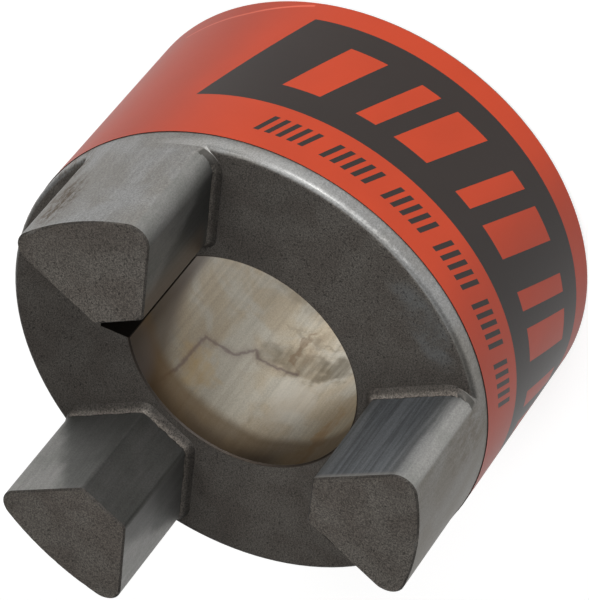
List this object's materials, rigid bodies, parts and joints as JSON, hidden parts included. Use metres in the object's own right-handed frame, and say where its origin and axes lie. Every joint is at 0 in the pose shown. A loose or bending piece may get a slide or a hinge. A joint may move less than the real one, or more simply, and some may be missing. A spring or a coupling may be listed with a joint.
{
  "type": "jaw coupling hub",
  "caption": "Thick round coupling hub with upright wedge-shaped drive jaws round a plain keyed bore, a radial socket set screw and a printed label wrapped round its body.",
  "frame": {"origin": "centre of the bore at the hub's back face, which the part stands on", "axes": "+Z along the bore towards the jaws, +Y through the middle of the keyway and the set screw"},
  "size_m": [0.0846, 0.0845, 0.0653],
  "materials": {
    "sintered_iron": "as-sintered, fine grained, with rubbed sides and a finished bore",
    "black_oxide_steel": "black oxide",
    "label_film": "semi-gloss orange-red film with charcoal print"
  },
  "bodies": {
    "hub": {"jaw_hub": "sintered_iron", "label_band": "label_film"},
    "screw": {"set_screw": "black_oxide_steel"}
  },
  "joints": [
    {"name": "set_screw_feed", "type": "slide", "parent": "hub", "child": "screw", "axis": [0, 1, 0], "range_m": [-0.0009, 0.0127]}
  ]
}
